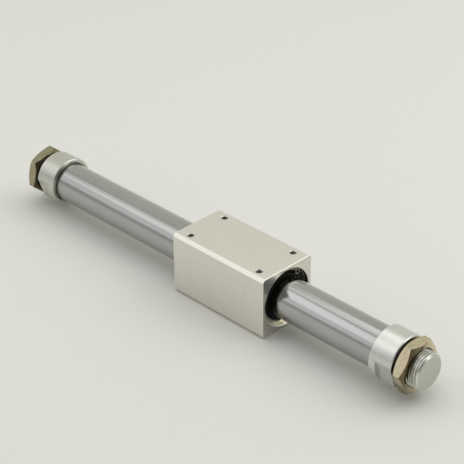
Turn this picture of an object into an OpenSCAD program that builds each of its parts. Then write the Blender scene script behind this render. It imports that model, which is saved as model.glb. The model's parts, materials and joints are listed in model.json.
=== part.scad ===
// Rodless pneumatic cylinder, magnetically coupled, basic type.
// The tube lies along X with its middle at the origin. The slider block is drawn where it stands at rest.

/* [Travel] */
// Stroke of the slider
stroke = 160; // [100:5:500]
// Rest place of the slider's middle along the tube
slider_x = 20; // [-40:1:40]
// Free travel left between piston and bumper at each end of the stroke
end_play = 0.1; // [0.05:0.05:0.5]

/* [Tube] */
// Bore of the cylinder tube
bore_d = 20; // [16:1:25]
// Wall of the cylinder tube
tube_wall = 1.4; // [0.8:0.1:2]
// Running gap of wear rings and seals, on the radius
run_gap = 0.05; // [0.02:0.01:0.08]
// Gap between pieces that are pushed together, on the radius
fit_gap = 0.03; // [0.02:0.01:0.05]

/* [Head covers] */
// Depth that the cover's skirt reaches over the tube
skirt_len = 3.5; // [3:0.1:5]
// Wall of the skirt round the tube
skirt_wall = 2.6; // [2:0.1:4]
// Length of the spigot inside the tube, from the tube's end
spigot_len = 7; // [5:0.5:12]
// Depth of the recess round the tube at the skirt's mouth
mouth_depth = 1.2; // [0.8:0.1:1.2]
// Thickness of the skirt's lip round that recess
mouth_lip = 1.8; // [0.7:0.1:2]
// Wall between the tube's end and the port
port_inner_wall = 0.7; // [0.5:0.1:2]
// Wall between the port and the shoulder
port_outer_wall = 1.2; // [1:0.1:3]
// Core diameter of the port's thread
port_d = 8.6; // [8:0.1:9]
// Depth of the port below the cover's round side
port_depth = 8.5; // [7:0.5:9]
// Diameter of the air passage
passage_d = 6; // [4:0.5:7]
// Distance across the cover's two wrench flats
wrench_af = 24.5; // [23:0.5:26]
// Angle of the lower wrench flat below the horizontal
wrench_angle = 19; // [0:1:45]
// Distance from the tube's end to where the wrench flats start
flat_inset = 1; // [0.5:0.1:2]
// Chamfer on the cover's outer edges
cover_chamfer = 0.5; // [0.2:0.1:0.8]

/* [Threaded noses] */
// Diameter of the mounting thread
nose_d = 20; // [18:1:22]
// Length of the mounting thread
nose_len = 13; // [11:1:20]
// Chamfer at the nose's end
nose_chamfer = 1.2; // [0.6:0.1:1.5]
// Thickness of the mounting nut
nut_t = 6.5; // [5:0.5:9]
// Gap between the right mounting nut and the cover's shoulder
right_nut_gap = 0.9; // [0:0.1:3]
// Gap between the left mounting nut and the cover's shoulder
left_nut_gap = 2.8; // [0:0.1:3]
// Distance across the mounting nut's flats
nut_af = 26; // [24:1:30]
// Turn of the right nut about the axis
right_nut_turn = 56; // [0:1:59]
// Turn of the left nut about the axis
left_nut_turn = 19; // [0:1:59]

/* [Bumpers, gaskets and lock rings] */
// Thickness of the rubber bumper
bumper_t = 2.4; // [2:0.1:4]
// Gap between bumper and tube bore, on the radius
bumper_side_gap = 0.8; // [0.5:0.1:1.5]
// Diameter of the tube gasket's cord
gasket_cord_d = 1.4; // [1.2:0.1:1.6]
// Distance from the spigot's front face to its gasket groove
gasket_inset = 1.5; // [1:0.1:2]
// Wire diameter of the lock ring
lock_wire_d = 1; // [0.8:0.1:1.2]

/* [Magnet stacks] */
// Number of magnets in each stack
magnet_count = 4; // [3:1:6]
// Thickness of a magnet
magnet_t = 5; // [3:0.5:8]
// Thickness of a yoke
yoke_t = 3; // [2:0.5:5]
// Gap between the outer rings and the tube, on the radius
outer_ring_gap = 0.5; // [0.4:0.1:1]
// Wall of the outer magnets and yokes
outer_ring_wall = 4.1; // [3:0.1:6]
// Gap between the outer rings and the block's bore, on the radius
ring_fit_gap = 0.1; // [0.05:0.05:0.2]
// Gap between the inner magnets and the tube's bore, on the radius
inner_magnet_gap = 0.6; // [0.4:0.1:1]
// Gap between the inner yokes and the tube's bore, on the radius
inner_yoke_gap = 0.4; // [0.3:0.1:0.8]

/* [Slider block] */
// Thinnest wall of the block round its bore
block_wall = 1.9; // [1.5:0.1:5]
// Chamfer on the block's long edges
block_chamfer = 1.8; // [0.5:0.1:2]
// Chamfer round the block's ends
block_end_chamfer = 0.3; // [0.2:0.1:0.5]
// Chamfer at the bore's mouth
bore_chamfer = 0.4; // [0.3:0.1:1]
// Spacing of the mounting holes along the tube
hole_x = 50; // [40:1:54]
// Distance of the mounting holes from the block's sides
hole_edge = 5.5; // [4.5:0.5:6]
// Core diameter of the mounting holes
hole_d = 3.3; // [3:0.1:4]
// Depth of the mounting holes
hole_depth = 5.5; // [4:0.5:7]

/* [Slider ends] */
// Depth of the open mouth outside the snap ring
mouth_len = 2.3; // [1.5:0.1:6]
// Thickness of the snap ring
snap_t = 1.2; // [1:0.1:1.5]
// Depth of the snap ring's groove in the bore
snap_groove = 0.7; // [0.4:0.1:0.9]
// Width of the snap ring's band
snap_band = 2.6; // [1.8:0.1:3]
// Angle of the snap ring's opening above the horizontal
snap_turn = 18; // [0:1:90]
// Half of the angle that the snap ring leaves open
snap_open = 20; // [15:1:40]
// Radius of the snap ring's lugs
snap_lug_r = 1.7; // [1.6:0.1:2]
// Radius of the plier holes in the lugs
snap_hole_r = 0.9; // [0.7:0.1:1]
// Width of the scraper
scraper_w = 3; // [2:0.1:4]
// Width of the lube retainer
lube_w = 2; // [1:0.1:3]
// Width of the slider's wear ring
slider_wear_w = 6; // [4:0.1:9]
// Thickness of the slider's wear ring
slider_wear_t = 1.5; // [1:0.1:2]
// Walls between the end spacer's grooves
spacer_web = 0.5; // [0.4:0.1:1]

/* [Piston] */
// Diameter of the shaft through the piston
shaft_d = 6; // [5:0.5:8]
// Wall of the piston between the magnets and its wear ring
piston_root = 1.5; // [1:0.1:3]
// Width of the piston's wear ring
piston_wear_w = 4.5; // [3:0.5:6]
// Thickness of the piston's wear ring
piston_wear_t = 1.4; // [1:0.1:2]
// Wall of the piston between wear ring and seal
piston_web = 2; // [1:0.1:4]
// Width of the piston seal
piston_seal_w = 3.5; // [3:0.1:5]
// Thickness of the piston seal
piston_seal_t = 2.4; // [2:0.1:3]
// Length of the piston outside its seal
piston_lip = 4; // [2:0.1:6]
// Gap between the piston's metal and the tube's bore, on the radius
piston_gap = 0.3; // [0.2:0.1:0.5]
// Thickness of the nut that holds the piston on its shaft
piston_nut_t = 3; // [2:0.1:4]
// Distance across that nut's flats
piston_nut_af = 10; // [9:0.5:11]
// Length of shaft that stands out of that nut
shaft_end = 1; // [0.5:0.1:1.5]
// Depth of the nut below the piston's face
nut_sink = 2; // [1.6:0.1:3]

/* [Hidden] */
$fn = 96;
RINGS = magnet_count + 1;
MAGNETS = [for (i = [1 : magnet_count]) i];
YOKES = [for (i = [1 : RINGS]) i];

// Radii, from the tube outwards
bore_r = bore_d / 2;
tube_r = bore_r + tube_wall;
skirt_r = tube_r + run_gap;
cover_r = tube_r + skirt_wall;
ring_in_r = tube_r + outer_ring_gap;
ring_out_r = ring_in_r + outer_ring_wall;
block_bore_r = ring_out_r + ring_fit_gap;
block_half = block_bore_r + block_wall;
slider_wear_r = tube_r + run_gap + slider_wear_t;
nut_corner_r = nut_af / 2 / cos(30);

// Places along a stack, from its middle
pitch = magnet_t + yoke_t;
stack_half = (magnet_count * magnet_t + RINGS * yoke_t) / 2;

// Places along the slider, from its middle outwards
spacer_in = stack_half;
slider_wear_in = spacer_in + spacer_web;
slider_wear_out = slider_wear_in + slider_wear_w;
lube_in = slider_wear_out + spacer_web;
scraper_in = lube_in + lube_w;
snap_in = scraper_in + scraper_w;
block_len = 2 * (snap_in + snap_t + mouth_len);

// Places along the piston, from its middle outwards
piston_wear_in = stack_half + piston_root;
piston_seal_in = piston_wear_in + piston_wear_w + piston_web;
piston_half = piston_seal_in + piston_seal_w + piston_lip;
recess_floor = piston_half - nut_sink - piston_nut_t;
recess_r = piston_nut_af / 2 / cos(30) + 0.4;
shaft_half = recess_floor + piston_nut_t + shaft_end;

// Places along the tube, from its middle outwards
bumper_x = stroke / 2 + piston_half + end_play;
spigot_x = bumper_x + bumper_t;
tube_half = spigot_x + spigot_len;
skirt_x = tube_half - skirt_len;
port_x = tube_half + port_inner_wall + port_d / 2;
shoulder_x = port_x + port_d / 2 + port_outer_wall;
nose_x = shoulder_x + nose_len;
lock_x = tube_half - (skirt_len - mouth_depth) / 2;
gasket_x = spigot_x + gasket_inset + gasket_cord_d / 2;

outer_magnet_nodes = [for (i = MAGNETS) str("outer_magnet_", i)];
outer_yoke_nodes = [for (i = YOKES) str("outer_yoke_", i)];
inner_magnet_nodes = [for (i = MAGNETS) str("inner_magnet_", i)];
inner_yoke_nodes = [for (i = YOKES) str("inner_yoke_", i)];

// Turns a profile of [place along X, radius] points about the X axis
module turned(points) rotate([0, 90, 0]) rotate_extrude() polygon([for (p = points) [p[1], p[0]]]);

// Ring about the X axis
module ring(from, to, inner, outer) turned([[from, inner], [to, inner], [to, outer], [from, outer]]);

// Round rod along X
module rod(from, to, r) translate([from, 0, 0]) rotate([0, 90, 0]) cylinder(h = to - from, r = r);

// Puts a piece that is drawn for the right end at the left end instead
module on_side(side) {
    if (side == "left") mirror([1, 0, 0]) children();
    else children();
}

// Hexagon prism along X with its first corner on +Y
module hex_rod(from, to, af) {
    translate([from, 0, 0]) rotate([0, 90, 0]) rotate([0, 0, 90]) cylinder(h = to - from, r = af / 2 / cos(30), $fn = 6);
}

// Ring with a round wire section
module wire_ring(x, mean_r, wire_r) {
    translate([x, 0, 0]) rotate([0, 90, 0]) rotate_extrude() translate([mean_r, 0]) circle(r = wire_r, $fn = 32);
}

// ---- Cylinder ----

module cylinder_tube() color([0.72, 0.72, 0.75]) {
    difference() {
        rod(-tube_half, tube_half, tube_r);
        rod(-tube_half - 1, tube_half + 1, bore_r);
        for (side = ["left", "right"]) on_side(side) wire_ring(lock_x, tube_r, lock_wire_d / 2 + fit_gap);
    }
}

// Body, skirt, spigot and nose in one turned profile, from the spigot's front face round to the nose
module cover_profile() {
    spigot_r = bore_r - fit_gap;
    groove_r = bore_r - fit_gap - gasket_cord_d;
    groove_half = gasket_cord_d / 2 + 0.2;
    turned([
        [spigot_x, 0],
        [spigot_x, spigot_r - 0.3],
        [spigot_x + 0.3, spigot_r],
        [gasket_x - groove_half, spigot_r],
        [gasket_x - groove_half, groove_r],
        [gasket_x + groove_half, groove_r],
        [gasket_x + groove_half, spigot_r],
        [tube_half, spigot_r],
        [tube_half, skirt_r],
        [skirt_x + mouth_depth, skirt_r],
        [skirt_x + mouth_depth * 0.7, cover_r - mouth_lip],
        [skirt_x, cover_r - mouth_lip],
        [skirt_x, cover_r - cover_chamfer],
        [skirt_x + cover_chamfer, cover_r],
        [shoulder_x - cover_chamfer, cover_r],
        [shoulder_x, cover_r - cover_chamfer],
        [shoulder_x, nose_d / 2],
        [nose_x - nose_chamfer, nose_d / 2],
        [nose_x, nose_d / 2 - nose_chamfer],
        [nose_x, 0]]);
}

// Head cover with two wrench flats, and a side port square to them that points down and back
module head_cover() color([0.78, 0.78, 0.77]) rotate([180 + wrench_angle, 0, 0]) {
    flat_from = tube_half + flat_inset;
    difference() {
        cover_profile();
        wire_ring(lock_x, tube_r, lock_wire_d / 2 + fit_gap);
        rod(spigot_x - 1, port_x + passage_d / 2, passage_d / 2);
        for (side = [-1, 1]) {
            translate([flat_from, side * (wrench_af / 2 + cover_r) - cover_r, -cover_r])
                cube([shoulder_x - flat_from, 2 * cover_r, 2 * cover_r]);
        }
        translate([port_x, 0, cover_r - port_depth]) cylinder(h = port_depth + 1, r = port_d / 2);
        translate([port_x, 0, 0]) cylinder(h = cover_r, r = passage_d / 2);
    }
}

module left_head_cover() on_side("left") head_cover();
module right_head_cover() head_cover();

// Hexagon nut with both faces chamfered at 30 degrees, screwed up to a gap from the shoulder
module mounting_nut(gap, turn) color([0.72, 0.66, 0.54]) translate([gap, 0, 0]) rotate([turn, 0, 0]) {
    face_r = nut_af / 2 * 0.95;
    slope = (nut_corner_r - face_r) * tan(30);
    bore = nose_d / 2 + fit_gap;
    difference() {
        intersection() {
            hex_rod(shoulder_x, shoulder_x + nut_t, nut_af);
            turned([
                [shoulder_x, 0],
                [shoulder_x, face_r],
                [shoulder_x + slope, nut_corner_r],
                [shoulder_x + nut_t - slope, nut_corner_r],
                [shoulder_x + nut_t, face_r],
                [shoulder_x + nut_t, 0]]);
        }
        rod(shoulder_x - 1, shoulder_x + nut_t + 1, bore);
        turned([
            [shoulder_x + nut_t - 0.8, 0],
            [shoulder_x + nut_t - 0.8, bore],
            [shoulder_x + nut_t + 0.2, bore + 1],
            [shoulder_x + nut_t + 0.2, 0]]);
    }
}

module left_mounting_nut() on_side("left") mounting_nut(left_nut_gap, left_nut_turn);
module right_mounting_nut() mounting_nut(right_nut_gap, right_nut_turn);

// Rubber disc on the spigot's front face, open in the middle for the air
module bumper() color([0.12, 0.12, 0.12]) ring(bumper_x, spigot_x, passage_d / 2, bore_r - bumper_side_gap);

module left_bumper() on_side("left") bumper();
module right_bumper() bumper();

module tube_gasket() color([0.10, 0.10, 0.10]) {
    wire_ring(gasket_x, bore_r - fit_gap - gasket_cord_d / 2, gasket_cord_d / 2);
}

module left_tube_gasket() on_side("left") tube_gasket();
module right_tube_gasket() tube_gasket();

// Wire ring that lies half in the tube's groove and half in the skirt's groove
module lock_ring() color([0.55, 0.55, 0.56]) wire_ring(lock_x, tube_r, lock_wire_d / 2);

module left_lock_ring() on_side("left") lock_ring();
module right_lock_ring() lock_ring();

// ---- Slider ----

// Puts a piece of the slider or of the piston, drawn about its own middle, at its rest place
module at_slider() translate([slider_x, 0, 0]) children();

// Rectangle with cut corners, about the origin
module cut_rectangle(a, b, cut) {
    polygon([
        for (q = [[1, 1], [-1, 1], [-1, -1], [1, -1]], first = [true, false])
            (q[0] * q[1] > 0) == first
                ? [q[0] * a / 2, q[1] * (b / 2 - cut)]
                : [q[0] * (a / 2 - cut), q[1] * b / 2]]);
}

// Square bar along X with chamfered long edges and smaller chamfers round its ends
module block_bar(len, width, edge_cut, end_cut) {
    intersection() {
        translate([-len / 2, 0, 0]) rotate([90, 0, 90]) linear_extrude(len) cut_rectangle(width, width, edge_cut);
        translate([0, 0, -width / 2]) linear_extrude(width) cut_rectangle(len, width, end_cut);
        translate([0, width / 2, 0]) rotate([90, 0, 0]) linear_extrude(width) cut_rectangle(len, width, end_cut);
    }
}

module slider_block() color([0.77, 0.76, 0.72]) at_slider() {
    half_len = block_len / 2;
    difference() {
        block_bar(block_len, 2 * block_half, block_chamfer, block_end_chamfer);
        rod(-half_len - 1, half_len + 1, block_bore_r);
        for (side = ["left", "right"]) on_side(side) {
            ring(snap_in - fit_gap, snap_in + snap_t + fit_gap, block_bore_r - 0.5, block_bore_r + snap_groove);
            turned([
                [half_len - bore_chamfer, 0],
                [half_len - bore_chamfer, block_bore_r],
                [half_len + 0.1, block_bore_r + bore_chamfer + 0.1],
                [half_len + 0.1, 0]]);
        }
        for (x = [-1, 1], y = [-1, 1]) {
            translate([x * hole_x / 2, y * (block_half - hole_edge), block_half - hole_depth])
                cylinder(h = hole_depth + 1, r = hole_d / 2, $fn = 48);
        }
    }
}

// Snap ring in the bore's groove: a band left open on one side, with a drilled lug at each end
module snap_ring() color([0.42, 0.42, 0.40]) {
    outer = block_bore_r + snap_groove - fit_gap;
    inner = outer - snap_band;
    lug_at = outer - snap_groove - snap_lug_r - 0.1;
    end_angle = snap_open + asin(snap_lug_r / lug_at);
    translate([snap_in, 0, 0]) rotate([snap_turn, 0, 0]) rotate([90, 0, 90]) linear_extrude(snap_t) {
        difference() {
            union() {
                difference() {
                    circle(r = outer);
                    circle(r = inner);
                    polygon([
                        [0, 0],
                        [2 * outer, -2 * outer * tan(snap_open)],
                        [2 * outer, 2 * outer * tan(snap_open)]]);
                }
                for (s = [-1, 1]) rotate(s * end_angle) translate([lug_at, 0]) circle(r = snap_lug_r, $fn = 36);
            }
            for (s = [-1, 1]) rotate(s * end_angle) translate([lug_at, 0]) circle(r = snap_hole_r, $fn = 24);
        }
    }
}

module left_snap_ring() at_slider() on_side("left") snap_ring();
module right_snap_ring() at_slider() snap_ring();

// Aluminium ring that closes the magnet stack, grooved for the wear ring and open outwards for the felt
module end_spacer() color([0.66, 0.66, 0.66]) {
    groove_r = slider_wear_r + run_gap;
    turned([
        [spacer_in, ring_in_r],
        [slider_wear_in, ring_in_r],
        [slider_wear_in, groove_r],
        [slider_wear_out + fit_gap, groove_r],
        [slider_wear_out + fit_gap, ring_in_r],
        [lube_in - fit_gap, ring_in_r],
        [lube_in - fit_gap, groove_r],
        [scraper_in, groove_r],
        [scraper_in, ring_out_r],
        [spacer_in, ring_out_r]]);
}

module left_end_spacer() at_slider() on_side("left") end_spacer();
module right_end_spacer() at_slider() end_spacer();

// Rubber wiper that fills the bore behind the snap ring, with a hollow face and a lip on the tube
module scraper() color([0.08, 0.08, 0.08]) {
    lip_r = tube_r + run_gap;
    turned([
        [scraper_in, lip_r + 0.7],
        [scraper_in, ring_out_r],
        [snap_in, ring_out_r],
        [snap_in, lip_r + 2],
        [snap_in - scraper_w * 0.4, lip_r + 1],
        [snap_in, lip_r + 0.3],
        [snap_in, lip_r],
        [snap_in - scraper_w * 0.2, lip_r]]);
}

module left_scraper() at_slider() on_side("left") scraper();
module right_scraper() at_slider() scraper();

// Felt ring that holds the grease
module lube_retainer() color([0.85, 0.82, 0.72]) {
    ring(lube_in, lube_in + lube_w, tube_r + run_gap, slider_wear_r);
}

module left_lube_retainer() at_slider() on_side("left") lube_retainer();
module right_lube_retainer() at_slider() lube_retainer();

module outer_magnet(i) color([0.36, 0.36, 0.38]) at_slider() {
    from = -stack_half + yoke_t + (i - 1) * pitch;
    ring(from, from + magnet_t, ring_in_r, ring_out_r);
}

module outer_yoke(i) color([0.50, 0.50, 0.48]) at_slider() {
    from = -stack_half + (i - 1) * pitch;
    ring(from, from + yoke_t, ring_in_r, ring_out_r);
}

// ---- Slider bearings ----

module slider_wear_ring() color([0.35, 0.28, 0.20]) {
    ring(slider_wear_in + fit_gap, slider_wear_out, tube_r + run_gap, slider_wear_r);
}

module left_slider_wear_ring() at_slider() on_side("left") slider_wear_ring();
module right_slider_wear_ring() at_slider() slider_wear_ring();

// ---- Piston ----

module piston_shaft() color([0.62, 0.62, 0.64]) at_slider() {
    difference() {
        rod(-shaft_half, shaft_half, shaft_d / 2);
        for (side = ["left", "right"]) on_side(side) turned([
            [shaft_half - 0.4, shaft_d / 2],
            [shaft_half - 0.4, shaft_d],
            [shaft_half + 0.4, shaft_d],
            [shaft_half + 0.4, shaft_d / 2 - 0.8]]);
    }
}

module inner_magnet(i) color([0.36, 0.36, 0.38]) at_slider() {
    from = -stack_half + yoke_t + (i - 1) * pitch;
    ring(from, from + magnet_t, shaft_d / 2 + fit_gap, bore_r - inner_magnet_gap);
}

module inner_yoke(i) color([0.50, 0.50, 0.48]) at_slider() {
    from = -stack_half + (i - 1) * pitch;
    ring(from, from + yoke_t, shaft_d / 2 + fit_gap, bore_r - inner_yoke_gap);
}

// Aluminium cup with grooves for wear ring and seal, and a recess for the nut
module piston() color([0.70, 0.70, 0.70]) {
    side_r = bore_r - piston_gap;
    wear_floor = bore_r - run_gap - piston_wear_t - fit_gap;
    seal_floor = bore_r - run_gap - piston_seal_t - fit_gap;
    wear_out = piston_wear_in + piston_wear_w;
    seal_out = piston_seal_in + piston_seal_w;
    turned([
        [stack_half, shaft_d / 2 + fit_gap],
        [stack_half, side_r],
        [piston_wear_in - fit_gap, side_r],
        [piston_wear_in - fit_gap, wear_floor],
        [wear_out + fit_gap, wear_floor],
        [wear_out + fit_gap, side_r],
        [piston_seal_in - fit_gap, side_r],
        [piston_seal_in - fit_gap, seal_floor],
        [seal_out + fit_gap, seal_floor],
        [seal_out + fit_gap, side_r],
        [piston_half - 0.5, side_r],
        [piston_half, side_r - 0.5],
        [piston_half, recess_r],
        [recess_floor, recess_r],
        [recess_floor, shaft_d / 2 + fit_gap]]);
}

module left_piston() at_slider() on_side("left") piston();
module right_piston() at_slider() piston();

// Lip seal: two lips that open towards the pressure
module piston_seal() color([0.10, 0.10, 0.10]) {
    outer = bore_r - run_gap;
    inner = outer - piston_seal_t;
    out = piston_seal_in + piston_seal_w;
    turned([
        [piston_seal_in, inner],
        [piston_seal_in, outer - 0.3],
        [out - 0.6, outer],
        [out, outer - 0.2],
        [out, outer - piston_seal_t * 0.25],
        [piston_seal_in + piston_seal_w * 0.5, (inner + outer) / 2],
        [out, inner + piston_seal_t * 0.25],
        [out, inner]]);
}

module left_piston_seal() at_slider() on_side("left") piston_seal();
module right_piston_seal() at_slider() piston_seal();

module piston_wear_ring() color([0.35, 0.28, 0.20]) {
    ring(piston_wear_in, piston_wear_in + piston_wear_w, bore_r - run_gap - piston_wear_t, bore_r - run_gap);
}

module left_piston_wear_ring() at_slider() on_side("left") piston_wear_ring();
module right_piston_wear_ring() at_slider() piston_wear_ring();

module piston_nut() color([0.70, 0.70, 0.68]) {
    difference() {
        hex_rod(recess_floor, recess_floor + piston_nut_t, piston_nut_af);
        rod(recess_floor - 1, recess_floor + piston_nut_t + 1, shaft_d / 2 + fit_gap);
    }
}

module left_piston_nut() at_slider() on_side("left") piston_nut();
module right_piston_nut() at_slider() piston_nut();

// ---- Nodes ----

cylinder_tube();
left_head_cover();
right_head_cover();
left_mounting_nut();
right_mounting_nut();
left_bumper();
right_bumper();
left_tube_gasket();
right_tube_gasket();
left_lock_ring();
right_lock_ring();
slider_block();
left_snap_ring();
right_snap_ring();
left_end_spacer();
right_end_spacer();
left_scraper();
right_scraper();
left_lube_retainer();
right_lube_retainer();
for (i = MAGNETS) outer_magnet(i);
for (i = YOKES) outer_yoke(i);
left_slider_wear_ring();
right_slider_wear_ring();
piston_shaft();
left_piston();
right_piston();
left_piston_seal();
right_piston_seal();
left_piston_wear_ring();
right_piston_wear_ring();
left_piston_nut();
right_piston_nut();
for (i = MAGNETS) inner_magnet(i);
for (i = YOKES) inner_yoke(i);
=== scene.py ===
import json
import math

import bmesh
import bpy
from mathutils import Matrix, Vector

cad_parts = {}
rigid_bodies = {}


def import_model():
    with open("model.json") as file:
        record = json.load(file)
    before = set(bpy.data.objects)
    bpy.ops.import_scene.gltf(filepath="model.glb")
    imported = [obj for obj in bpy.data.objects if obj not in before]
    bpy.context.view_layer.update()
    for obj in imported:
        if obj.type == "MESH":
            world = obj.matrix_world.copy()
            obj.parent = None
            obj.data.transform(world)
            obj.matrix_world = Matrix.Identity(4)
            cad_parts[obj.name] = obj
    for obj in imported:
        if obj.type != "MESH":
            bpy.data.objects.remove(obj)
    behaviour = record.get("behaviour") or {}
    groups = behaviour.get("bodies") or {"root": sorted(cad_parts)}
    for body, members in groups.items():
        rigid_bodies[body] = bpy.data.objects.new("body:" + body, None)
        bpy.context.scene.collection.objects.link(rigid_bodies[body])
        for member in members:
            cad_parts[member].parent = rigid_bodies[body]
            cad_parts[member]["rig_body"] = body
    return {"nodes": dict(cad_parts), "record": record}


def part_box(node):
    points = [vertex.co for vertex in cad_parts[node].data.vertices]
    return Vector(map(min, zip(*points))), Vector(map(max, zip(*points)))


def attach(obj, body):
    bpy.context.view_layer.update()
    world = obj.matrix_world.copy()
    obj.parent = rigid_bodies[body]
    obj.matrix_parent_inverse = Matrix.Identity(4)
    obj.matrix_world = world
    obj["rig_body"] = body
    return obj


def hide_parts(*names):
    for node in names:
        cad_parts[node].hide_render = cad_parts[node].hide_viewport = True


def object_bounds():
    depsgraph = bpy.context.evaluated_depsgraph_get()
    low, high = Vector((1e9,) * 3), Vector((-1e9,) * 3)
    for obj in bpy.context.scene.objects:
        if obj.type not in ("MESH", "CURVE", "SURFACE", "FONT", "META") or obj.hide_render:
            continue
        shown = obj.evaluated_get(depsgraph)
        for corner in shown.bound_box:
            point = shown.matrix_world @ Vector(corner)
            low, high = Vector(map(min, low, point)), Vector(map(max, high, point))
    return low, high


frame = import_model()
CAD_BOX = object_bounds()

MM = 0.001

# Camera, about the object's middle: degrees, metres, and its lens and sensor in millimetres
CAMERA_AZIMUTH = 45.18
CAMERA_ELEVATION = 31.32
CAMERA_ROLL = -0.42
CAMERA_DISTANCE = 812.3 * MM
CAMERA_AIM = Vector((1.4, 11.7, 12.0)) * MM
CAMERA_LENS = 117.94
CAMERA_SENSOR = 36.0

# Floor, and the distances between which it fades out into the backdrop
FLOOR_COLOUR = (0.776, 0.773, 0.732)
FLOOR_RADIUS = 1.5
FLOOR_FADE = (0.45, 1.3)
FLOOR_SIDES = 96
BACKDROP = (0.745, 0.738, 0.69)

# Room light by direction, and the values of X, Y or Z between which one colour turns into the next
BACK_SKY = (0.70, 0.70, 0.635)
FRONT_SKY = (0.51, 0.51, 0.50)
RIGHT_SKY = (0.25, 0.25, 0.24)
CEILING = (0.88, 0.88, 0.88)
GROUND = (0.50, 0.50, 0.47)
FRONT_TO_BACK = (-0.45, 0.3)
RIGHT_TO_BACK = (0.0, 0.5)
LEFT_TO_RIGHT = (0.1, 0.6)
WALL_TO_CEILING = (0.80, 0.87)
GROUND_TO_WALL = (0.0, 0.1)

# Lamps: direction from the object's middle, width and height, power
LAMPS = {
    "key_softbox": ((-0.606, -0.52, 0.60), (0.95, 0.80), 1.02),
    "key_core": ((-0.50, -0.45, 0.74), (0.62, 0.48), 0.39),
    "top_strip": ((-0.44, 0.15, 0.885), (0.54, 0.20), 0.14),
    "top_softbox": ((0.0, 0.0, 1.0), (0.9, 0.9), 1.25),
    "high_left_softbox": ((-0.211, 0.366, 0.906), (0.7, 0.5), 0.28),
    "back_softbox": ((0.42, 0.58, 0.70), (1.1, 0.7), 2.75),
}
LAMP_DISTANCE = 1.1

# Threads: major radius, minor radius, pitch. The sides were chosen so that each boolean comes out closed.
# A tap starts a little outside the surface, and a countersink ends a little inside the minor radius.
NOSE_THREAD = (10.0 * MM, 9.12 * MM, 1.5 * MM)
NOSE_SIDES = 128
HOLE_THREAD = (2.0 * MM, 1.68 * MM, 0.7 * MM)
HOLE_SIDES = 36
HOLE_DEPTH = 5.1 * MM
HOLE_COUNTERSINK = 2.15 * MM
PORT_THREAD = (4.86 * MM, 4.33 * MM, 0.907 * MM)
PORT_SIDES = 40
PORT_DEPTH = 6.5 * MM
PORT_COUNTERSINK = PORT_THREAD[0] + 0.3 * MM
COUNTERSINK_SIDES = 40
COUNTERSINK_BEYOND = 0.05 * MM
TAP_START = 0.3 * MM

# Thread profile, in pitches: half a crest, half a root, and where its rows of points lie
HALF_CREST = 1 / 16
HALF_ROOT = 1 / 8
THREAD_ROWS = (0.0, 1 / 16, 0.17, 0.27, 3 / 8, 5 / 8, 0.73, 0.83, 15 / 16)

# Head covers: tone of the turned skin, the left one darker as painted shade, the threaded nose and how it
# sits in the cover, broken edges, the nose's skin from just beyond the shoulder, and the least area of a face
# that is a wrench flat
COVER_TONES_LEFT_SHADED = {"left_head_cover": (0.59, 0.59, 0.535), "right_head_cover": (0.68, 0.685, 0.645)}
NOSE_LENGTH = 13.0 * MM
NOSE_CHAMFER = 1.2 * MM
NOSE_ROOT = 0.3 * MM
NOSE_CUT = 0.05 * MM
COVER_EDGE = 0.12 * MM
COVER_EDGE_RADIUS = 11.6 * MM
NOSE_FROM = 0.02 * MM
FLAT_AREA = 20.0 * MM * MM

# Nuts: tone of the plate, the left one darker as painted shade, and tints of painted shade under the nuts and
# on the nuts' faces, with the places where they are full and end
NUT_TONES_LEFT_SHADED = {"right_mounting_nut": (0.62, 0.54, 0.375), "left_mounting_nut": (0.36, 0.335, 0.22)}
NUT_UNDER_SHADE = {"right_mounting_nut": (0.5, 0.5, 0.5), "left_mounting_nut": (0.9, 0.9, 0.9)}
NUT_UNDER_SHADE_WAY = (0.0, 0.0, 1.0)
NUT_UNDER_SHADE_REACH = (-7.5 * MM, -3.5 * MM)
NUT_FACE_SHADE = (0.28, 0.25, 0.21)
NUT_FACE_SHADE_WAY = (0.0, 0.9, -0.44)
NUT_FACE_SHADE_REACH = (-9.5 * MM, 2.0 * MM)
NUT_EDGE = 0.22 * MM

# Slider block: broken edges, how far from the axis its bore is worked, and the part of a mounting hole
# that gets painted shade: from its lip to beyond its depth
BLOCK = "slider_block"
BLOCK_EDGE = 0.15 * MM
BORE_REACH = 17.2 * MM
HOLE_LIP = 0.45 * MM
HOLE_BEYOND = 0.5 * MM

# How far a face's normal points along X, or for the flats along Y, where the face gets its own material
CHAMFER_FACING = (0.6, 0.8)
FLAT_FACING = 0.99
NUT_FACING = 0.6
END_FACING = 0.9
BORE_END_FACING = 0.3

# Painted shade in the upper part of the slider's mouth
MOUTH_SHADE = (0.22, 0.215, 0.20)
MOUTH_SHADE_WAY = (0.0, 0.0, -1.0)
MOUTH_SHADE_REACH = (2.0 * MM, 10.0 * MM)

# Bare label in a pocket of the block's front
LABEL_SIZE = (40.0 * MM, 18.0 * MM)
LABEL_GAP = 0.14 * MM
LABEL_DEPTH = 0.1 * MM
LABEL_SUNK = 0.01 * MM
LABEL_OVERLAP = 0.02 * MM
LABEL_CORNER = 1.2 * MM
LABEL_CORNER_STEPS = 6

# Materials: the values that noise mostly stays between, and the shares of grain and blotches in a metal
NOISE_SPAN = (0.3, 0.7)
NOISE_ROUGHNESS = 0.55
GRAIN_SHARE = 0.6
BLOTCH_SHARE = 0.4

# Meshes: points this close are one, and faces within this many degrees are one plane
WELD = 2e-6
FINE_WELD = 1e-7
DEGENERATE = 1e-8
FLAT_ANGLE = 0.4


# ---------------------------------------------------------------- materials

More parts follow.
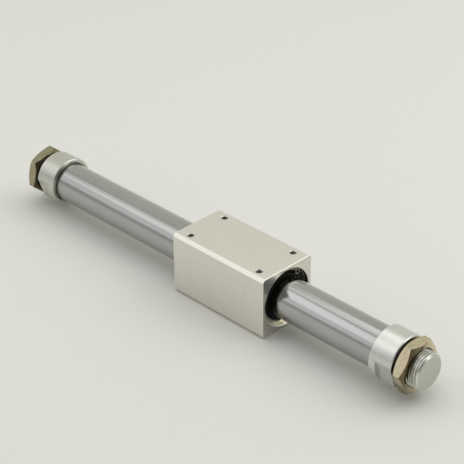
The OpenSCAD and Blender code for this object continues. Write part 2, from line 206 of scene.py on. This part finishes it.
class Nodes:
    """A node tree, with short calls for the nodes that are added to it."""

    def __init__(self, tree):
        self.tree = tree

    def node(self, kind, **settings):
        made = self.tree.nodes.new(kind)
        for key, value in settings.items():
            setattr(made, key, value)
        return made

    def link(self, source, target):
        self.tree.links.new(source, target)

    def give(self, socket, value):
        """Links a socket, or sets it to a number or a colour."""
        if isinstance(value, bpy.types.NodeSocket):
            self.link(value, socket)
        elif isinstance(value, tuple):
            socket.default_value = (*value, 1.0)
        else:
            socket.default_value = value

    def calculate(self, operation, first, second):
        made = self.node("ShaderNodeMath", operation=operation)
        self.give(made.inputs[0], first)
        self.give(made.inputs[1], second)
        return made.outputs["Value"]

    def range(self, value, low, high, span=NOISE_SPAN):
        """Stretches a span of values to low and high."""
        made = self.node("ShaderNodeMapRange")
        made.inputs["From Min"].default_value, made.inputs["From Max"].default_value = span
        made.inputs["To Min"].default_value = low
        made.inputs["To Max"].default_value = high
        self.link(value, made.inputs["Value"])
        return made.outputs["Result"]

    def fade(self, value, span):
        """0 below a span of values and 1 above it, with a smooth change between."""
        made = self.node("ShaderNodeMapRange", interpolation_type="SMOOTHSTEP")
        made.inputs["From Min"].default_value, made.inputs["From Max"].default_value = span
        self.link(value, made.inputs["Value"])
        return made.outputs["Result"]

    def mix(self, factor, first, second, blend="MIX"):
        """Mixes two colours."""
        made = self.node("ShaderNodeMix", data_type="RGBA", blend_type=blend)
        self.give(made.inputs["Factor"], factor)
        colours = (socket for socket in made.inputs if socket.type == "RGBA")
        for socket, value in zip(colours, (first, second)):
            self.give(socket, value)
        return next(socket for socket in made.outputs if socket.type == "RGBA")

    def ramp(self, value, stops):
        made = self.node("ShaderNodeValToRGB")
        steps = made.color_ramp.elements
        while len(steps) < len(stops):
            steps.new(0.5)
        for step, (at, colour) in zip(steps, stops):
            step.position = at
            step.color = (*colour, 1.0)
        self.link(value, made.inputs["Fac"])
        return made.outputs["Color"]


class Shader(Nodes):
    """A node material that is being built."""

    def __init__(self, name):
        self.material = bpy.data.materials.new(name)
        self.material.use_nodes = True
        super().__init__(self.material.node_tree)
        self.surface = self.tree.nodes["Principled BSDF"]

    def set(self, **values):
        for key, value in values.items():
            self.surface.inputs[key.replace("_", " ")].default_value = value

    def place(self, scale):
        """Object coordinates, stretched by a scale along each axis."""
        where = self.node("ShaderNodeTexCoord")
        mapping = self.node("ShaderNodeMapping")
        mapping.inputs["Scale"].default_value = scale
        self.link(where.outputs["Object"], mapping.inputs["Vector"])
        return mapping.outputs["Vector"]

    def noise(self, scale, detail, distortion=0.0):
        made = self.node("ShaderNodeTexNoise")
        made.inputs["Scale"].default_value = 1.0
        made.inputs["Detail"].default_value = detail
        made.inputs["Roughness"].default_value = NOISE_ROUGHNESS
        made.inputs["Distortion"].default_value = distortion
        self.link(self.place(scale), made.inputs["Vector"])
        return made.outputs["Fac"]

    def paint_shade(self, unshaded_way, reach, tint):
        """Tints the base colour with painted shade. The tint is full up to reach[0] along a direction, and
        ends at reach[1].
        """
        along = self.node("ShaderNodeVectorMath", operation="DOT_PRODUCT")
        along.inputs[1].default_value = unshaded_way
        self.link(self.place((1.0, 1.0, 1.0)), along.inputs[0])
        unshaded = self.range(along.outputs["Value"], 0.0, 1.0, span=reach)
        base = self.surface.inputs["Base Color"].links[0].from_socket
        tints = self.ramp(unshaded, [(0.0, tint), (1.0, (1.0, 1.0, 1.0))])
        self.colour(self.mix(1.0, base, tints, blend="MULTIPLY"))

    def colour(self, value):
        self.link(value, self.surface.inputs["Base Color"])

    def roughness(self, value):
        self.link(value, self.surface.inputs["Roughness"])

    def bump(self, height, distance):
        made = self.node("ShaderNodeBump")
        made.inputs["Strength"].default_value = 1.0
        made.inputs["Distance"].default_value = distance
        self.link(height, made.inputs["Height"])
        self.link(made.outputs["Normal"], self.surface.inputs["Normal"])


def shade(colour, factor):
    """A colour made darker or lighter."""
    return tuple(channel * factor for channel in colour)


def metal(name, colour, rough, grain, spread=0.06, blotch=60.0, relief=0.0, contrast=0.06):
    """A metal with a grain of the given scales along X, Y and Z, and faint blotches."""
    made = Shader(name)
    made.set(Metallic=1.0)
    lines = made.noise(grain, detail=2.0)
    clouds = made.noise((blotch, blotch, blotch), detail=3.0)
    mixed = made.calculate(
        "ADD",
        made.calculate("MULTIPLY", lines, GRAIN_SHARE),
        made.calculate("MULTIPLY", clouds, BLOTCH_SHARE))
    tones = [shade(colour, 1 - contrast), shade(colour, 1 + contrast)]
    made.colour(made.ramp(mixed, list(zip(NOISE_SPAN, tones))))
    made.roughness(made.range(mixed, rough - spread, rough + spread))
    if relief:
        made.bump(lines, relief)
    return made


def tube_steel():
    made = metal("tube_steel", (0.433, 0.434, 0.428), 0.125, (2600.0, 160.0, 160.0), spread=0.03,
                 blotch=45.0, relief=0.004 * MM, contrast=0.05)
    made.set(Anisotropic=0.4, Anisotropic_Rotation=0.25)
    tangent = made.node("ShaderNodeTangent", direction_type="RADIAL", axis="X")
    made.link(tangent.outputs["Tangent"], made.surface.inputs["Tangent"])
    return made.material


def anodised_block():
    made = metal("anodised_block", (0.775, 0.76, 0.695), 0.34, (900.0, 2400.0, 2400.0), spread=0.05,
                 blotch=30.0, relief=0.002 * MM, contrast=0.025)
    return made.material


def milled_end():
    made = metal("milled_end", (0.70, 0.685, 0.63), 0.24, (300.0, 1800.0, 1800.0), spread=0.05,
                 blotch=40.0, relief=0.002 * MM, contrast=0.03)
    return made.material


def bored_wall():
    made = metal("bored_wall", (0.72, 0.69, 0.57), 0.14, (2600.0, 200.0, 200.0), spread=0.05,
                 blotch=60.0, relief=0.002 * MM, contrast=0.05)
    # painted shade in the upper part of the mouth
    made.paint_shade(MOUTH_SHADE_WAY, MOUTH_SHADE_REACH, MOUTH_SHADE)
    return made.material


def label_foil():
    made = metal("label_foil", (0.77, 0.76, 0.715), 0.3, (1200.0, 1200.0, 1200.0), spread=0.04,
                 blotch=90.0, relief=0.001 * MM, contrast=0.015)
    return made.material


def turned_cover(name, tone):
    made = metal(name, tone, 0.30, (3200.0, 260.0, 260.0), spread=0.05,
                 blotch=80.0, relief=0.003 * MM, contrast=0.04)
    return made.material


def cut_thread():
    made = metal("cut_thread", (0.54, 0.545, 0.50), 0.2, (2600.0, 400.0, 400.0), spread=0.05,
                 blotch=90.0, relief=0.002 * MM, contrast=0.05)
    return made.material


# Painted highlight: the nose's chamfer is coloured lighter than the cut thread, as if lit
def cut_chamfer_painted_highlight():
    made = metal("cut_chamfer_painted_highlight", (0.68, 0.69, 0.63), 0.30, (400.0, 1600.0, 1600.0), spread=0.05,
                 blotch=90.0, contrast=0.03)
    return made.material


# Painted shade: the walls of the tapped mounting holes are coloured dark
def shaded_drilled_hole():
    made = metal("shaded_drilled_hole", (0.20, 0.19, 0.17), 0.3, (500.0, 500.0, 1500.0), spread=0.05,
                 blotch=200.0, contrast=0.1)
    return made.material


def nut_nickel(name, tone, under_shade):
    """Yellowed nickel plate, with painted shade underneath."""
    made = metal(name, tone, 0.14, (500.0, 500.0, 500.0), spread=0.04, blotch=110.0, contrast=0.2)
    # painted shade, darker towards the bottom
    made.paint_shade(NUT_UNDER_SHADE_WAY, NUT_UNDER_SHADE_REACH, under_shade)
    return made.material


def face_shaded_nickel(name, tone):
    """The same plate on a nut's faces, with painted shade that grows towards -Y."""
    made = metal(name, tone, 0.16, (500.0, 500.0, 500.0), spread=0.05, blotch=110.0, contrast=0.2)
    # painted shade, darker towards -Y
    made.paint_shade(NUT_FACE_SHADE_WAY, NUT_FACE_SHADE_REACH, NUT_FACE_SHADE)
    return made.material


def ring_steel():
    made = metal("ring_steel", (0.66, 0.64, 0.54), 0.14, (1500.0, 900.0, 900.0), spread=0.05,
                 blotch=150.0, relief=0.002 * MM, contrast=0.10)
    # painted shade in the upper part of the mouth
    made.paint_shade(MOUTH_SHADE_WAY, MOUTH_SHADE_REACH, MOUTH_SHADE)
    return made.material


def shaded_milled_flat():
    """Wrench flats of the head covers, duller than the turned skin and coloured darker as painted shade."""
    return metal("shaded_milled_flat", (0.53, 0.535, 0.50), 0.34, (400.0, 400.0, 2600.0), spread=0.05).material


def bright_aluminium():
    return metal("bright_aluminium", (0.72, 0.72, 0.71), 0.3, (2800.0, 200.0, 200.0),
                 relief=0.004 * MM).material


def magnet_plating():
    return metal("magnet_plating", (0.42, 0.42, 0.44), 0.3, (500.0, 500.0, 500.0), relief=0.004 * MM).material


def soft_iron():
    return metal("soft_iron", (0.5, 0.5, 0.48), 0.4, (1800.0, 300.0, 300.0), relief=0.004 * MM).material


def ground_steel():
    return metal("ground_steel", (0.56, 0.56, 0.57), 0.25, (2600.0, 150.0, 150.0), relief=0.003 * MM).material


def rubber():
    made = Shader("rubber")
    grain = made.noise((1400.0, 1400.0, 1400.0), detail=4.0)
    made.colour(made.ramp(grain, [(0.3, (0.008, 0.008, 0.008)), (0.75, (0.02, 0.02, 0.02))]))
    made.roughness(made.range(grain, 0.5, 0.7))
    made.bump(grain, 0.01 * MM)
    return made.material


def grease_felt():
    made = Shader("grease_felt")
    made.set(Sheen_Weight=0.4, Sheen_Roughness=0.5)
    fibres = made.noise((2200.0, 900.0, 900.0), detail=5.0, distortion=1.5)
    made.colour(made.ramp(fibres, [(0.3, (0.5, 0.46, 0.34)), (0.75, (0.75, 0.7, 0.56))]))
    made.roughness(made.range(fibres, 0.85, 1.0))
    made.bump(fibres, 0.06 * MM)
    return made.material


def filled_resin():
    made = Shader("filled_resin")
    specks = made.noise((1800.0, 1800.0, 1800.0), detail=4.0)
    made.colour(made.ramp(specks, [(0.3, (0.09, 0.06, 0.035)), (0.7, (0.16, 0.11, 0.07))]))
    made.roughness(made.range(specks, 0.4, 0.55))
    made.bump(specks, 0.006 * MM)
    return made.material


def backdrop_paper():
    """Pale paper that fades out into the backdrop."""
    made = Shader("backdrop_paper")
    made.set(Roughness=0.9, Specular_IOR_Level=0.15)
    fibres = made.noise((240.0, 240.0, 240.0), detail=2.0)
    made.colour(made.ramp(fibres, [(0.2, shade(FLOOR_COLOUR, 0.995)), (0.8, shade(FLOOR_COLOUR, 1.005))]))
    where = made.node("ShaderNodeTexCoord")
    length = made.node("ShaderNodeVectorMath", operation="LENGTH")
    made.link(where.outputs["Object"], length.inputs[0])
    clear = made.node("ShaderNodeBsdfTransparent")
    mix = made.node("ShaderNodeMixShader")
    made.link(made.fade(length.outputs["Value"], FLOOR_FADE), mix.inputs["Fac"])
    made.link(made.surface.outputs["BSDF"], mix.inputs[1])
    made.link(clear.outputs["BSDF"], mix.inputs[2])
    made.link(mix.outputs["Shader"], made.tree.nodes["Material Output"].inputs["Surface"])
    return made.material


# ---------------------------------------------------------------- meshes

def thread_radius(along, turn, thread):
    """Radius of a 60 degree thread at a place along its axis, at an angle in turns."""
    major, minor, pitch = thread
    phase = (along / pitch - turn) % 1.0
    off = min(phase, 1.0 - phase)
    if off <= HALF_CREST:
        return major
    if off >= 0.5 - HALF_ROOT:
        return minor
    return major + (minor - major) * (off - HALF_CREST) / (0.5 - HALF_ROOT - HALF_CREST)


def thread_column(made, rows, turn, length, thread, chamfer):
    """New points along a threaded rod, at an angle in turns."""
    tip = thread[0] - chamfer
    angle = 2 * math.pi * turn
    column = []
    for row in rows:
        x = min(max(row + thread[2] * turn, 0.0), length)
        radius = thread_radius(x, turn, thread)
        if chamfer:
            radius = min(radius, tip + length - x)
        column.append(made.verts.new((x, radius * math.cos(angle), radius * math.sin(angle))))
    return column


def join_columns(made, column, after, shift):
    """Faces from one column to the next one, which is met some rows further on."""
    last = len(column) - 1
    for j in range(last):
        low, high = min(j + shift, last), min(j + 1 + shift, last)
        corners = [column[j], column[j + 1], after[high], after[low]]
        if low == high:
            corners.pop()
        made.faces.new(corners)


def threaded_rod(length, thread, chamfer, sides):
    """A closed rod along +X from the origin with a right-hand thread, chamfered at its far end."""
    pitch = thread[2]
    turns = int(length / pitch) + 3
    rows = [(turn - 1 + step) * pitch for turn in range(turns) for step in THREAD_ROWS]
    made = bmesh.new()
    grid = [thread_column(made, rows, i / sides, length, thread, chamfer) for i in range(sides)]
    for i in range(sides - 1):
        join_columns(made, grid[i], grid[i + 1], 0)
    join_columns(made, grid[-1], grid[0], len(THREAD_ROWS))
    made.faces.new([column[0] for column in grid])
    made.faces.new([column[-1] for column in reversed(grid)])
    bmesh.ops.remove_doubles(made, verts=made.verts, dist=FINE_WELD)
    bmesh.ops.dissolve_degenerate(made, edges=made.edges, dist=DEGENERATE)
    bmesh.ops.recalc_face_normals(made, faces=made.faces)
    return made


def add_object(name, mesh_data):
    """Puts a bmesh into the scene as an object, and frees it."""
    mesh = bpy.data.meshes.new(name)
    mesh_data.to_mesh(mesh)
    mesh_data.free()
    made = bpy.data.objects.new(name, mesh)
    bpy.context.scene.collection.objects.link(made)
    return made


def copy_of(node):
    """The CAD node's mesh as a bmesh, with its split corners joined and its flat faces whole."""
    made = bmesh.new()
    made.from_mesh(frame["nodes"][node].data)
    bmesh.ops.remove_doubles(made, verts=made.verts, dist=WELD)
    bmesh.ops.dissolve_limit(made, angle_limit=math.radians(FLAT_ANGLE), verts=made.verts, edges=made.edges)
    bmesh.ops.recalc_face_normals(made, faces=made.faces)
    return made


def soften(made, width, segments=2, angle=32.0, keep=None):
    """Bevels the edges that are sharper than the angle."""
    chosen = [
        edge for edge in made.edges
        if len(edge.link_faces) == 2 and edge.calc_face_angle(0.0) > math.radians(angle)
        and (keep is None or keep(edge))]
    bmesh.ops.bevel(
        made, geom=chosen, offset=width, offset_type="OFFSET", segments=segments,
        profile=0.5, affect="EDGES", clamp_overlap=True)


def combine(target, other, operation):
    """Boolean of two objects. The other one is deleted."""
    step = target.modifiers.new("combine", "BOOLEAN")
    step.operation = operation
    step.object = other
    step.solver = "EXACT"
    graph = bpy.context.evaluated_depsgraph_get()
    mesh = bpy.data.meshes.new_from_object(target.evaluated_get(graph))
    target.modifiers.clear()
    target.data = mesh
    bpy.data.objects.remove(other)


def finish_piece(piece, node, material, angle=28.0):
    """Smooth shading, material and body for a piece that stands for one CAD node."""
    mesh = piece.data
    mesh.materials.clear()
    mesh.materials.append(material)
    mesh.polygons.foreach_set("material_index", [0] * len(mesh.polygons))
    mesh.polygons.foreach_set("use_smooth", [True] * len(mesh.polygons))
    mesh.set_sharp_from_angle(angle=math.radians(angle))
    flatten = piece.modifiers.new("flatten", "WEIGHTED_NORMAL")
    flatten.mode = "FACE_AREA"
    flatten.weight = 100
    flatten.keep_sharp = True
    source = frame["nodes"][node]
    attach(piece, source["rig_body"])
    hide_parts(node)
    return piece


# ---------------------------------------------------------------- pieces

def threaded_cover(node):
    """Head cover with a real thread on its nose and in its port."""
    low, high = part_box(node)
    side = 1 if high.x > 0 else -1
    tip = high.x if side > 0 else low.x
    shoulder = tip - side * NOSE_LENGTH
    body = copy_of(node)
    cut_off(body, shoulder + side * NOSE_CUT, side)
    soften(body, COVER_EDGE, keep=lambda edge: outside(edge, COVER_EDGE_RADIUS))
    bmesh.ops.recalc_face_normals(body, faces=body.faces)
    piece = add_object(node + "_threaded", body)
    add_nose(piece, shoulder, side, abs(tip - shoulder))
    tap_port(piece, node)
    finish_piece(piece, node, turned_cover(node + "_skin", COVER_TONES_LEFT_SHADED[node]))

    def on_nose(face):
        return side * (face.center.x - shoulder) > NOSE_FROM

    def on_chamfer(face):
        least, most = CHAMFER_FACING
        return abs(face.center.x - tip) < NOSE_CHAMFER and least < side * face.normal.x < most

    def on_flat(face):
        return abs(face.normal.y) > FLAT_FACING and face.area > FLAT_AREA

    paint(piece, [(cut_thread(), on_nose), (cut_chamfer_painted_highlight(), on_chamfer), (shaded_milled_flat(), on_flat)])
    return piece


def paint(piece, surfaces):
    """Gives a piece further materials, each on the faces of which its test holds. A later one wins."""
    for index, (surface, covers) in enumerate(surfaces, start=1):
        piece.data.materials.append(surface)
        for face in piece.data.polygons:
            if covers(face):
                face.material_index = index


def cut_off(body, at_x, side):
    """Cuts a body off beyond a place along X, and closes it there."""
    cut = bmesh.ops.bisect_plane(
        body, geom=body.verts[:] + body.edges[:] + body.faces[:], dist=FINE_WELD,
        plane_co=(at_x, 0, 0), plane_no=(side, 0, 0), clear_outer=True)
    rim = [item for item in cut["geom_cut"] if isinstance(item, bmesh.types.BMEdge)]
    bmesh.ops.edgenet_fill(body, edges=rim)


def add_nose(piece, shoulder, side, length):
    """Joins a threaded nose to a head cover, which points away from the tube."""
    nose = add_object("nose", threaded_rod(length + NOSE_ROOT, NOSE_THREAD, NOSE_CHAMFER, NOSE_SIDES))
    turn = Matrix.Identity(4) if side > 0 else Matrix.Rotation(math.pi, 4, "Z")
    nose.data.transform(Matrix.Translation((shoulder - side * NOSE_ROOT, 0, 0)) @ turn)
    combine(piece, nose, "UNION")


def tap_port(piece, node):
    """Cuts the thread into a head cover's port."""
    port = mount(node.replace("head_cover", "port"))
    outward = Vector(port["axis"])
    at = Vector((port["pos_m"][0], 0, 0)) + outward * radius_of(node)
    tap(piece, at, -outward, PORT_THREAD, PORT_DEPTH, PORT_COUNTERSINK, PORT_SIDES)


def radius_of(node):
    """Greatest distance of a turned node's surface from the tube's axis."""
    return max(math.hypot(vert.co.y, vert.co.z) for vert in frame["nodes"][node].data.vertices)


def outside(edge, radius):
    """Whether an edge lies further from the tube's axis than the radius."""
    return all(math.hypot(vert.co.y, vert.co.z) > radius for vert in edge.verts)


def plated_nut(node):
    """Nut with its edges rounded as tumbling and plating leave them, and with painted shade on its faces."""
    body = copy_of(node)
    soften(body, NUT_EDGE, segments=3, angle=20.0)
    tone = NUT_TONES_LEFT_SHADED[node]
    piece = add_object(node + "_plated", body)
    finish_piece(piece, node, nut_nickel(node + "_nickel", tone, NUT_UNDER_SHADE[node]), angle=40.0)
    # the nut's faces get painted shade
    paint(piece, [(face_shaded_nickel(node + "_face_shaded", tone), lambda face: abs(face.normal.x) > NUT_FACING)])
    return piece


def tapped_block(skin):
    """Slider block with broken edges, tapped mounting holes and a pocket for the label."""
    body = copy_of(BLOCK)
    soften(body, BLOCK_EDGE)
    piece = add_object("slider_block_tapped", body)
    places = hole_places()
    for at in places:
        tap(piece, at, Vector((0, 0, -1)), HOLE_THREAD, HOLE_DEPTH, HOLE_COUNTERSINK, HOLE_SIDES)
    low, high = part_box(BLOCK)
    pocket = [size / 2 + LABEL_GAP for size in LABEL_SIZE]
    cutter = label_plate("pocket", pocket, low.y - MM, low.y + LABEL_DEPTH)
    combine(piece, cutter, "DIFFERENCE")
    finish_piece(piece, BLOCK, skin)

    def near_bore(face):
        return math.hypot(face.center.y, face.center.z) < BORE_REACH

    def on_end(face):
        return abs(face.normal.x) > (BORE_END_FACING if near_bore(face) else END_FACING)

    def in_bore(face):
        return near_bore(face) and not on_end(face)

    def in_hole(face):
        deep = HOLE_LIP < places[0].z - face.center.z < HOLE_DEPTH + HOLE_BEYOND
        return deep and any((face.center.xy - at.xy).length < HOLE_COUNTERSINK for at in places)

    paint(piece, [(milled_end(), on_end), (bored_wall(), in_bore), (shaded_drilled_hole(), in_hole)])
    return piece


def hole_places():
    """Middles of the four mounting holes, at the block's top."""
    holes = mount("slider_mounting_holes")
    middle_x, middle_y, top = holes["pos_m"]
    half_x, half_y = (holes["dims"][key] * MM / 2 for key in ("spacing_x_mm", "spacing_y_mm"))
    return [
        Vector((middle_x + side_x * half_x, middle_y + side_y * half_y, top))
        for side_x in (-1, 1) for side_y in (-1, 1)]


def label_plate(name, half_size, from_y, to_y):
    """Thin upright plate with round corners, in the middle of the block's front."""
    low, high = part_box(BLOCK)
    centre = (low + high) / 2
    outline = []
    for quarter, (side_x, side_z) in enumerate(((1, 1), (-1, 1), (-1, -1), (1, -1))):
        for step in range(LABEL_CORNER_STEPS + 1):
            angle = math.pi / 2 * (quarter + step / LABEL_CORNER_STEPS)
            outline.append((
                centre.x + side_x * (half_size[0] - LABEL_CORNER) + LABEL_CORNER * math.cos(angle),
                centre.z + side_z * (half_size[1] - LABEL_CORNER) + LABEL_CORNER * math.sin(angle)))
    made = bmesh.new()
    near = [made.verts.new((x, from_y, z)) for x, z in outline]
    far = [made.verts.new((x, to_y, z)) for x, z in outline]
    made.faces.new(near)
    made.faces.new(far[::-1])
    for i in range(len(outline)):
        after = (i + 1) % len(outline)
        made.faces.new((near[after], near[i], far[i], far[after]))
    bmesh.ops.recalc_face_normals(made, faces=made.faces)
    return add_object(name, made)


def bare_label():
    """Foil with nothing printed on it, set flush into the pocket in the block's front."""
    low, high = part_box(BLOCK)
    half = [size / 2 for size in LABEL_SIZE]
    piece = label_plate("bare_label", half, low.y + LABEL_SUNK, low.y + LABEL_DEPTH + LABEL_OVERLAP)
    piece.data.materials.append(label_foil())
    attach(piece, frame["nodes"][BLOCK]["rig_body"])
    return piece


def mount(name):
    """The record's mount of that name."""
    return next(item for item in frame["record"]["mounts"] if item["name"] == name)


def tap(piece, at, inward, thread, depth, countersink, sides):
    """Cuts a countersunk thread into a piece that has the hole already."""
    turn = inward.to_track_quat("X", "Z").to_matrix().to_4x4()
    cutter = add_object("tap", threaded_rod(depth + TAP_START, thread, 0.0, sides))
    cutter.data.transform(Matrix.Translation(at - inward * TAP_START) @ turn)
    combine(piece, cutter, "DIFFERENCE")
    reach = countersink - thread[1] + COUNTERSINK_BEYOND
    cone = bmesh.new()
    bmesh.ops.create_cone(
        cone, cap_ends=True, segments=COUNTERSINK_SIDES, radius1=countersink + TAP_START,
        radius2=countersink - reach, depth=reach + TAP_START)
    cutter = add_object("countersink", cone)
    down = inward.to_track_quat("Z", "Y").to_matrix().to_4x4()
    cutter.data.transform(Matrix.Translation(at + inward * (reach - TAP_START) / 2) @ down)
    combine(piece, cutter, "DIFFERENCE")


# ---------------------------------------------------------------- studio

def add_floor():
    """Round sheet under the object, at its lowest point."""
    low, high = CAD_BOX
    sheet = bmesh.new()
    bmesh.ops.create_circle(sheet, cap_ends=True, segments=FLOOR_SIDES, radius=FLOOR_RADIUS)
    floor = add_object("floor", sheet)
    floor.location = (0, 0, low.z)
    floor.data.materials.append(backdrop_paper())
    return floor


def add_world():
    """Room that lights the object from all round, dimmer in front, with a pale backdrop below its horizon."""
    world = bpy.data.worlds.new("studio")
    bpy.context.scene.world = world
    world.use_nodes = True
    room = Nodes(world.node_tree)
    where = room.node("ShaderNodeTexCoord")
    split = room.node("ShaderNodeSeparateXYZ")
    room.link(where.outputs["Generated"], split.inputs["Vector"])
    x, y, z = split.outputs
    left = room.mix(room.fade(y, FRONT_TO_BACK), FRONT_SKY, BACK_SKY)
    right = room.mix(room.fade(y, RIGHT_TO_BACK), RIGHT_SKY, BACK_SKY)
    walls = room.mix(room.fade(x, LEFT_TO_RIGHT), left, right)
    sky = room.mix(room.fade(z, WALL_TO_CEILING), walls, CEILING)
    path = room.node("ShaderNodeLightPath")
    seen = path.outputs["Is Camera Ray"]
    for kind in ("Is Glossy Ray", "Is Transmission Ray"):
        seen = room.calculate("MAXIMUM", seen, path.outputs[kind])
    ground = room.mix(seen, GROUND, BACKDROP)
    background = room.tree.nodes["Background"]
    room.link(room.mix(room.fade(z, GROUND_TO_WALL), ground, sky), background.inputs["Color"])
    background.inputs["Strength"].default_value = 1.0
    return world


def add_lamp(name, direction, size, power):
    """Rectangular white softbox that faces the object's middle. Size is its width and its height."""
    data = bpy.data.lights.new(name, "AREA")
    data.shape = "RECTANGLE"
    data.size, data.size_y = size
    data.energy = power
    lamp = bpy.data.objects.new(name, data)
    towards = Vector(direction).normalized()
    lamp.location = middle() + towards * LAMP_DISTANCE
    lamp.rotation_euler = towards.to_track_quat("Z", "Y").to_euler()
    bpy.context.scene.collection.objects.link(lamp)
    return lamp


def middle():
    """Middle of the CAD model's box."""
    low, high = CAD_BOX
    return (low + high) / 2


def add_camera():
    """Camera at the azimuth, elevation and roll given above, aimed beside the object's middle."""
    azimuth, elevation, roll = (
        math.radians(angle) for angle in (CAMERA_AZIMUTH, CAMERA_ELEVATION, CAMERA_ROLL))
    back = Vector((
        math.sin(azimuth) * math.cos(elevation),
        -math.cos(azimuth) * math.cos(elevation),
        math.sin(elevation)))
    right = Vector((math.cos(azimuth), math.sin(azimuth), 0.0))
    right = Matrix.Rotation(roll, 3, back) @ right
    up = back.cross(right)
    data = bpy.data.cameras.new("camera")
    data.lens = CAMERA_LENS
    data.sensor_width = CAMERA_SENSOR
    camera = bpy.data.objects.new("camera", data)
    camera.matrix_world = Matrix.Translation(middle() + CAMERA_AIM + back * CAMERA_DISTANCE) @ Matrix((
        right, up, back)).transposed().to_4x4()
    bpy.context.scene.collection.objects.link(camera)
    bpy.context.scene.camera = camera
    return camera


# ---------------------------------------------------------------- assembly

MATERIALS = {
    "stainless_tube": tube_steel(),
    "cover_aluminium": turned_cover("turned_cover", COVER_TONES_LEFT_SHADED["right_head_cover"]),
    "nut_plating": nut_nickel("nut_nickel", NUT_TONES_LEFT_SHADED["right_mounting_nut"], NUT_UNDER_SHADE["right_mounting_nut"]),
    "black_rubber": rubber(),
    "spring_steel": ring_steel(),
    "block_anodised": anodised_block(),
    "plain_aluminium": bright_aluminium(),
    "felt": grease_felt(),
    "magnet_nickel": magnet_plating(),
    "yoke_steel": soft_iron(),
    "wear_ring_resin": filled_resin(),
    "shaft_steel": ground_steel(),
}
SLOT_OF = {
    name: node.data.materials[0].name.split(".")[0]
    for name, node in frame["nodes"].items()}

for name, node in frame["nodes"].items():
    node.material_slots[0].material = MATERIALS[SLOT_OF[name]]

for name in COVER_TONES_LEFT_SHADED:
    threaded_cover(name)
for name in NUT_TONES_LEFT_SHADED:
    plated_nut(name)
tapped_block(MATERIALS["block_anodised"])
bare_label()

add_floor()
add_world()
for name, (direction, size, power) in LAMPS.items():
    add_lamp(name, direction, size, power)
add_camera()

bpy.context.scene.view_settings.view_transform = "Standard"
